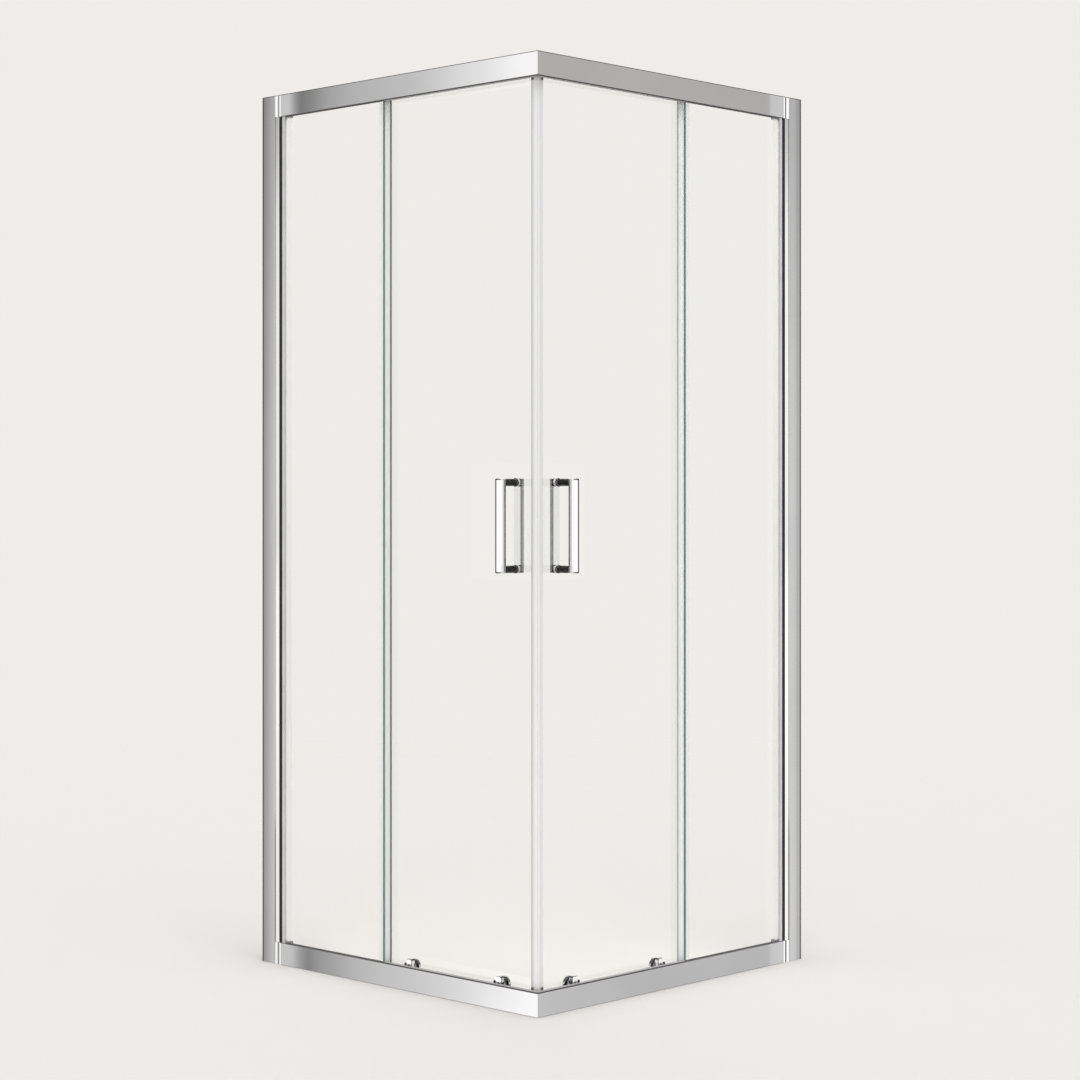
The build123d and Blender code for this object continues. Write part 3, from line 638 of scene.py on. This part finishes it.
# Painted shade: the trailing seal's front is painted dark where it starts
clearSealShading = {
    "right": ((0.4695, 0.45), (0.4722, 0.60), (0.4738, 0.90), (0.4760, 1.0), (0.4900, 1.0), (0.496, 1.0)),
    "left": ((0.4695, 0.08), (0.4722, 0.12), (0.4738, 0.75), (0.4760, 1.0), (0.4900, 1.0), (0.496, 1.0)),
}
clearSealBody = ((0.4695, 1.0), (0.4885, 1.0), (0.4905, 0.25), (0.4965, 0.15))
sealEndShade = {"bottom": 0.0560, "top": 1.9450, "from": 0.0305, "tone": 0.12}


def makeSealPlastic(name, color, bands, coat, body=None, endShade=None):
    material, shader, link = startMaterial(name)
    shader.inputs["IOR"].default_value = 1.45
    shader.inputs["Coat Weight"].default_value = coat
    shader.inputs["Coat Roughness"].default_value = 0.12
    noise = addNoise(material, 12, objectSpot(material, (40, 40, 3)), detail=3)
    darker = tuple(c * 0.97 for c in color)
    along, depth, height = wingPlace(material)
    base = mixColors(material, spread(material, noise, 0.35, 0.65, 0, 1), darker, color)
    base = mixColors(material, 1.0, base, stepped(material, along, bands), "MULTIPLY")
    if endShade:  # painted shade: darker at both ends of the legs
        low = spread(material, height, endShade["bottom"] - 0.001, endShade["bottom"], 1, 0)
        high = spread(material, height, endShade["top"], endShade["top"] + 0.001, 0, 1)
        legs = spread(material, along, endShade["from"], endShade["from"] + 0.002, 0, 1)
        share = sumUp(material, "MULTIPLY", sumUp(material, "MAXIMUM", low, high), legs)
        base = mixColors(material, share, base, (endShade["tone"],) * 3)
    if body:  # the thin fin lets the room behind it show
        link(stepped(material, along, body), shader.inputs["Alpha"])
    link(base, shader.inputs["Base Color"])
    link(spread(material, noise, 0.3, 0.7, 0.16, 0.28), shader.inputs["Roughness"])
    addBump(material, noise, shader, 0.1, 0.00008)
    return material


# Along the rails the gasket is painted dark for the shade under the rails; at the post it is a paler strip
# with a painted darker edge of shade.
gasketShadeTones = ("along", (
    (0.40, 0.10), (0.795, 0.10), (0.8075, 0.14), (0.8100, 0.84), (0.8130, 0.85), (0.8150, 0.88),
    (0.845, 0.88),
))
# Painted glow on the gasket lip's face against the pane
paintedPaneGlow = {"from": 0.803, "steps": ((0.0104, 0.0), (0.0108, 0.15), (0.0112, 0.15), (0.0116, 0.0))}
# Painted highlight on the level faces of gasket and filler strips
paintedLevelHighlight = (0.42, 0.41, 0.41)
# Behind the pane the handles' rings are pale; in front they are black. The rollers' rings are
# pale near the axle.
ringTones = ("depth", ((0.020, 0.016), (0.0243, 0.016), (0.0250, 0.85), (0.034, 0.85)))
rollerRingTones = ("around", ((0.0, 0.9), (0.0106, 0.9), (0.0116, 0.012), (0.0180, 0.012)))
# The standoffs are black; the pale band at their back end is a painted highlight on the chamfer
standoffTonesAndGlint = ("depth", ((-0.014, 0.013), (0.0216, 0.013), (0.0222, 0.85), (0.0232, 0.85)))

finishes = {
    "railAlongX": makeMetal("polishedRailX", railMetal, (3, 220, 220)),
    "railAlongY": makeMetal("polishedRailY", railMetal, (220, 3, 220)),
    "profile": makeMetal("polishedProfile", profileMetal, (220, 220, 3)),
    "post": makeMetal("brightPost", postMetal, (220, 220, 3)),
    "caps": makeMetal("fluteChrome", capMetal, (220, 220, 3)),
    "chrome": makeMetal("chromePlate", chromeMetal, (90, 90, 90)),
    "outerBar": makeMetal("outerBarChrome", outerBarMetal, (220, 220, 8)),
    "innerBar": makeMetal("innerBarChrome", innerBarMetal, (220, 220, 8)),
    "darkScrews": makeMetal("darkScrews", darkScrewMetal, (300, 300, 300)),
    "steel": makeMetal("steelScrews", steelMetal, (300, 300, 300)),
    "zinc": makeMetal("castZinc", zincMetal, (150, 150, 150), 0.0001),
    "paneRight": makeGlass("clearPaneRight", "Y"),
    "paneLeft": makeGlass("clearPaneLeft", "X"),
    "blackRubber": makeRubber("blackRubber", (0.012, 0.012, 0.012), (0.022, 0.022, 0.022), (0.35, 0.55)),
    "greyRubber": makeRubber(
        "greyRubber", (0.07, 0.07, 0.072), (0.10, 0.10, 0.103), (0.4, 0.6), levelHighlight=paintedLevelHighlight
    ),
    "gasket": makeRubber(
        "glazingRubber", (0.80, 0.79, 0.80), (0.88, 0.87, 0.88), (0.4, 0.6), bands=gasketShadeTones,
        levelHighlight=paintedLevelHighlight, paneGlowPaint=paintedPaneGlow,
    ),
    "rings": makeRubber("ringRubber", (0.9, 0.9, 0.9), (1.0, 1.0, 1.0), (0.3, 0.5), bands=ringTones),
    "rollerRings": makeRubber(
        "rollerRubber", (0.9, 0.9, 0.9), (1.0, 1.0, 1.0), (0.3, 0.5), bands=rollerRingTones
    ),
    "standoffs": makeRubber(
        "standoffPlastic", (0.85, 0.85, 0.85), (1.0, 1.0, 1.0), (0.12, 0.22), 300, 0.00002,
        bands=standoffTonesAndGlint,
    ),
    "blackPlastic": makeRubber(
        "blackPlastic", (0.010, 0.010, 0.010), (0.016, 0.016, 0.016), (0.12, 0.22), 300, 0.00002
    ),
    "nylon": makeRubber("whiteNylon", (0.72, 0.72, 0.69), (0.80, 0.80, 0.77), (0.35, 0.5), 400, 0.00003),
    "magnet": makeRubber("magnetRubber", (0.06, 0.05, 0.045), (0.09, 0.08, 0.07), (0.5, 0.7), 700, 0.00003),
}

for side in sides:
    finishes[f"{side}WhiteSeal"] = makeSealPlastic(
        f"{side}WhiteSeal", (0.965, 0.965, 0.975), whiteSealShading[side], coat=0.6, endShade=sealEndShade
    )
    finishes[f"{side}ClearSeal"] = makeSealPlastic(
        f"{side}ClearSeal", (0.97, 0.985, 0.985), clearSealShading[side], coat=0.3, body=clearSealBody
    )

sharedFinish = {
    "corner_connectors": "zinc",
    "connector_screws": "steel",
    "rail_end_caps": "caps",
    "post_screws": "steel",
    "filler_strips": "greyRubber",
    "door_stops": "blackRubber",
}
wingFinish = {
    "wall_profile": "profile",
    "jamb_post": "post",
    "glazing_gasket": "gasket",
    "magnet_core": "magnet",
    "handle_outer_bar": "outerBar",
    "handle_inner_bar": "innerBar",
    "handle_standoffs": "standoffs",
    "handle_gaskets": "rings",
    "handle_bolts": "steel",
    "top_roller_brackets": "chrome",
    "bottom_roller_brackets": "chrome",
    "roller_knobs": "chrome",
    "roller_gaskets": "rollerRings",
    "front_top_wheel": "nylon",
    "rear_top_wheel": "nylon",
    "front_bottom_wheel": "nylon",
    "rear_bottom_wheel": "nylon",
    "front_release_slider": "blackPlastic",
    "rear_release_slider": "blackPlastic",
    "front_release_spring": "steel",
    "rear_release_spring": "steel",
}


def finishNode(node, finish):
    nodes[node].data.materials.clear()
    nodes[node].data.materials.append(finishes[finish])


for node, finish in sharedFinish.items():
    finishNode(node, finish)
for side in sides:
    for node, finish in wingFinish.items():
        finishNode(f"{side}_{node}", finish)
    along = "railAlongX" if side == "right" else "railAlongY"
    pane = "paneRight" if side == "right" else "paneLeft"
    finishNode(f"{side}_top_rail", along)
    finishNode(f"{side}_bottom_rail", along)
    finishNode(f"{side}_magnet_seal", f"{side}WhiteSeal")
    finishNode(f"{side}_trailing_seal", f"{side}ClearSeal")
    for glass in ("fixed_glass", "door_glass"):
        finishNode(f"{side}_{glass}", pane)
        nodes[f"{side}_{glass}"].visible_shadow = False
print("every CAD node has its finish")


def dress(piece, finish, body, replaced=None):
    piece.data.materials.clear()
    piece.data.materials.append(finishes[finish])
    if replaced:
        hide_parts(replaced)
    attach(piece, body)


magnetSeal = {
    "nose": 0.0222, "front": 0.022, "back": 0.032, "lead": 0.034, "legEnd": 0.040,
    "paneFront": 0.024, "paneBack": 0.030, "bottom": 0.047, "top": 1.954,
    "crown": 0.0007, "crownLines": ((0.0262, 0.7), (0.0300, 1.0), (0.0345, 0.7)), "crownRoom": 0.001,
    "footHeight": 0.010, "footFlare": 0.0008, "footShift": 0.0003, "soft": 0.0005,
}


# A U that clips on the pane's leading edge, with a crowned front and a nose on the corner's diagonal
def makeMagnetSeal():
    facts = magnetSeal
    seal = addBlock(
        "rightMagnetSeal",
        inWing(facts["nose"], facts["front"], facts["bottom"]),
        inWing(facts["lead"], facts["back"], facts["top"]),
    )
    openEdit(seal)
    for depth in (facts["paneFront"], facts["paneBack"]):
        cutAcross(inWing(0, depth, 0), (0, 1, 0))
    leadPlace = cornerPlace + facts["lead"]
    frontLine, backLine = cornerPlace + facts["paneFront"], cornerPlace + facts["paneBack"]
    pick(seal, "FACE", lambda f: near(middleOf(f).x, leadPlace) and not frontLine < middleOf(f).y < backLine)
    pushFaces((facts["legEnd"] - facts["lead"], 0, 0))
    # slope the nose face back, so that it lies on the diagonal
    nosePlace = cornerPlace + facts["nose"]
    for depth in (facts["paneFront"], facts["paneBack"], facts["back"]):
        pick(seal, "VERT", lambda v: near(v.co.x, nosePlace) and near(v.co.y, cornerPlace + depth))
        bpy.ops.transform.translate(value=(depth - facts["front"], 0, 0))
    # crown the front leg and flare its two ends
    for along, share in facts["crownLines"]:
        cutAcross(inWing(along, 0, 0), (1, 0, 0))
    for height in (facts["bottom"] + facts["footHeight"], facts["top"] - facts["footHeight"]):
        cutAcross(inWing(0, 0, height), (0, 0, 1))
    frontPlace = cornerPlace + facts["front"]
    for along, share in facts["crownLines"]:
        linePlace = cornerPlace + along
        pick(seal, "VERT", lambda v: near(v.co.y, frontPlace) and near(v.co.x, linePlace, facts["crownRoom"]))
        bpy.ops.transform.translate(value=(0, -facts["crown"] * share, 0))
    for height in (facts["bottom"], facts["top"]):
        pick(seal, "VERT", lambda v: near(v.co.z, height) and v.co.y < frontPlace + 0.0001)
        bpy.ops.transform.translate(value=(facts["footShift"], -facts["footFlare"], 0))
    closeEdit()
    roundEdges(seal, facts["soft"], 3, 30)
    turnFacesOut(seal)
    smoothPiece(seal, 40)
    return seal


trailSeal = {
    "start": 0.470, "backStart": 0.474, "trail": 0.490, "end": 0.492, "finRoot": 0.491,
    "front": 0.0226, "paneFront": 0.024, "paneBack": 0.030, "back": 0.0314,
    "finLean": 0.003, "finTip": 0.0124, "finRuns": ((0.25, 0.4), (0.75, 0.6)),
    "bottom": 0.0526, "top": 1.9474, "clipBottom": 0.047, "clipTop": 1.954,
    "lip": 0.0003, "soft": 0.00035,
}


# A U that clips on the pane's trailing edge, with a fin that leans towards the fixed pane
def makeTrailSeal():
    facts = trailSeal
    seal = addBlock(
        "rightTrailSeal",
        inWing(facts["trail"], facts["front"], facts["bottom"]),
        inWing(facts["end"], facts["back"], facts["top"]),
    )
    openEdit(seal)
    for depth in (facts["paneFront"], facts["paneBack"]):
        cutAcross(inWing(0, depth, 0), (0, 1, 0))
    trailPlace = cornerPlace + facts["trail"]
    frontLine, backLine = cornerPlace + facts["paneFront"], cornerPlace + facts["paneBack"]
    pick(seal, "FACE", lambda f: near(middleOf(f).x, trailPlace) and middleOf(f).y < frontLine)
    pushFaces((facts["start"] - facts["trail"], 0, 0))
    pick(seal, "FACE", lambda f: near(middleOf(f).x, trailPlace) and middleOf(f).y > backLine)
    pushFaces((facts["backStart"] - facts["trail"], 0, 0))
    cutAcross(inWing(facts["finRoot"], 0, 0), (1, 0, 0))
    frontPlace = cornerPlace + facts["front"]
    rootPlace = cornerPlace + facts["finRoot"]
    pick(seal, "FACE", lambda f: near(middleOf(f).y, frontPlace) and middleOf(f).x > rootPlace)
    for leanShare, depthShare in facts["finRuns"]:  # two runs, so that the fin bends a little
        pushFaces((facts["finLean"] * leanShare, (facts["finTip"] - facts["front"]) * depthShare, 0))
    # the clip alone runs on into the rails
    for height, reach in ((facts["bottom"], facts["clipBottom"]), (facts["top"], facts["clipTop"])):
        pick(seal, "FACE", lambda f: near(middleOf(f).z, height) and middleOf(f).y > frontPlace)
        pushFaces((0, 0, reach - height))
    # thicken the lip at the front leg's end
    pick(seal, "VERT", lambda v: near(v.co.x, cornerPlace + facts["start"]) and near(v.co.y, frontPlace))
    bpy.ops.transform.translate(value=(0, -facts["lip"], 0))
    closeEdit()
    roundEdges(seal, facts["soft"], 2, 30)
    turnFacesOut(seal)
    smoothPiece(seal, 40)
    return seal


outerBar = {
    "along": 0.088, "width": 0.0210, "front": -0.0265, "back": -0.0135, "bottom": 0.917, "top": 1.115,
    "soft": 0.0022, "panelInset": 0.0028, "panelSink": 0.00012,
}


# A bar with soft edges and a very slightly sunk panel on its face
def makeOuterBar():
    facts = outerBar
    bar = addBlock(
        "rightOuterBar",
        inWing(facts["along"] - facts["width"] / 2, facts["front"], facts["bottom"]),
        inWing(facts["along"] + facts["width"] / 2, facts["back"], facts["top"]),
    )
    openEdit(bar)
    frontPlace = cornerPlace + facts["front"]
    pick(bar, "FACE", lambda f: near(middleOf(f).y, frontPlace))
    bpy.ops.mesh.inset(thickness=facts["panelInset"], depth=0)
    bpy.ops.transform.translate(value=(0, facts["panelSink"], 0))
    backPlace = cornerPlace + facts["back"]

    # the box's own twelve edges, without those of the panel
    def onBox(edge):
        return all(near(v.co.y, frontPlace) or near(v.co.y, backPlace) for v in edge.verts)

    pick(bar, "EDGE", onBox)
    bpy.ops.mesh.bevel(offset=facts["soft"], segments=4, profile=0.5, affect="EDGES")
    closeEdit()
    turnFacesOut(bar)
    smoothPiece(bar, 30)
    return bar


postShadeBead = {
    "start": 0.8190, "end": 0.8264, "proud": 0.0013, "post": 0.0022, "gasket": 0.0038,
    "bottom": 0.0505, "top": 1.9495, "seat": 0.0001, "soft": 0.0012,
}


# A black half-round bead along the post's face, a dark piece that stands for the shaded gap between post and
# gasket
def makePostShadeBead():
    facts = postShadeBead
    bead = addBlock(
        "rightPostShadeBead",
        inWing(facts["start"], facts["post"] - facts["proud"], facts["bottom"]),
        inWing(facts["end"], facts["gasket"] + facts["seat"], facts["top"]),
    )
    openEdit(bead)
    frontPlace = cornerPlace + facts["post"] - facts["proud"]

    def longAtFront(edge):
        first, second = (v.co for v in edge.verts)
        return near(first.y, frontPlace) and near(second.y, frontPlace) and abs(first.z - second.z) > 1

    pick(bead, "EDGE", longAtFront)
    bpy.ops.mesh.bevel(offset=facts["soft"], segments=4, profile=0.5, affect="EDGES")
    closeEdit()
    turnFacesOut(bead)
    smoothPiece(bead, 40)
    return bead


housingScrew = {
    "radius": 0.0027, "front": 0.0142, "back": 0.0160, "height": 0.052,
    "slot": 0.0006, "slotReach": 0.66, "sink": 0.0009, "rim": 0.95, "rimFall": 0.0004,
}


# A pan head with a cross recess, sunk in the housing's round recess
def makeHousingScrew(name, along):
    facts = housingScrew
    clearSelection()
    bpy.ops.mesh.primitive_cylinder_add(
        vertices=24,
        radius=facts["radius"],
        depth=facts["back"] - facts["front"],
        location=inWing(along, (facts["front"] + facts["back"]) / 2, facts["height"]),
        rotation=(math.radians(90), 0, 0),
    )
    screw = takeNew(name)
    settlePlace()
    openEdit(screw)
    middle = inWing(along, facts["front"], facts["height"])
    reach = facts["radius"] * facts["slotReach"]
    for offset in (-facts["slot"], facts["slot"], -reach, reach):
        cutAcross(middle + Vector((offset, 0, 0)), (1, 0, 0))
        cutAcross(middle + Vector((0, 0, offset)), (0, 0, 1))

    def inCross(face):
        spot = middleOf(face) - middle
        slim = min(abs(spot.x), abs(spot.z)) < facts["slot"]
        return near(spot.y, 0) and slim and max(abs(spot.x), abs(spot.z)) < reach

    pick(screw, "FACE", inCross)
    pushFaces((0, facts["sink"], 0))
    rim = facts["radius"] * facts["rim"]
    pick(screw, "VERT", lambda v: near(v.co.y, middle.y) and (v.co - middle).length > rim)
    bpy.ops.transform.translate(value=(0, facts["rimFall"], 0))
    closeEdit()
    turnFacesOut(screw)
    smoothPiece(screw, 30)
    return screw


spring = {"radius": 0.0017, "wire": 0.00025, "turns": 7, "offset": -0.0131, "bottom": 0.028, "top": 0.044}


# A coil on the slider's shoulder, under the bracket's lug
def makeSpring(name, along, depth):
    facts = spring
    clearSelection()
    bpy.ops.mesh.primitive_circle_add(
        vertices=8, radius=facts["wire"], location=(facts["radius"], 0, 0), rotation=(math.radians(90), 0, 0)
    )
    coil = takeNew(name)
    settlePlace()
    length = facts["top"] - facts["bottom"] - 2 * facts["wire"]
    screw = coil.modifiers.new("coilUp", "SCREW")
    screw.angle = 2 * math.pi
    screw.screw_offset = length / facts["turns"]
    screw.iterations = facts["turns"]
    screw.steps = screw.render_steps = 16
    applyAll(coil)
    openEdit(coil)
    pick(coil, "EDGE", lambda e: e.is_boundary)
    bpy.ops.mesh.edge_face_add()
    closeEdit()
    coil.location = inWing(along + facts["offset"], depth, facts["bottom"] + facts["wire"])
    makeActive(coil)
    settlePlace()
    turnFacesOut(coil)
    smoothPiece(coil, 60)
    return coil


for maker, leftName, finish, slot, replaced, body in (
    (makeMagnetSeal, "leftMagnetSeal", "{}WhiteSeal", "clear_seal", "magnet_seal", "{}_door"),
    (makeTrailSeal, "leftTrailSeal", "{}ClearSeal", "clear_seal", "trailing_seal", "{}_door"),
    (makeOuterBar, "leftOuterBar", "outerBar", "chrome", "handle_outer_bar", "{}_door"),
    (makePostShadeBead, "leftPostShadeBead", "blackRubber", "black_rubber", None, "frame"),
):
    rightPiece = maker()
    leftPiece = copyToLeft(rightPiece, leftName)
    for side, piece in (("right", rightPiece), ("left", leftPiece)):
        dress(piece, finish.format(side), body.format(side), f"{side}_{replaced}" if replaced else None)
print("seals, bars and beads are made")

springLow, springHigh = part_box("right_front_release_spring")
springDepth = (springLow.y + springHigh.y) / 2 - cornerPlace
for end, along in ends.items():
    firstScrew = makeHousingScrew(f"right{end.capitalize()}HousingScrew", along)
    firstSpring = makeSpring(f"right{end.capitalize()}Spring", along, springDepth)
    for side in sides:
        screwPiece, coilPiece = firstScrew, firstSpring
        if side == "left":
            screwPiece = copyToLeft(firstScrew, f"left{end.capitalize()}HousingScrew")
            coilPiece = copyToLeft(firstSpring, f"left{end.capitalize()}Spring")
        dress(screwPiece, "darkScrews", f"{side}_door")
        dress(coilPiece, "steel", f"{side}_{end}_release", f"{side}_{end}_release_spring")
        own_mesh(coilPiece)
print("housing screws and springs are made")
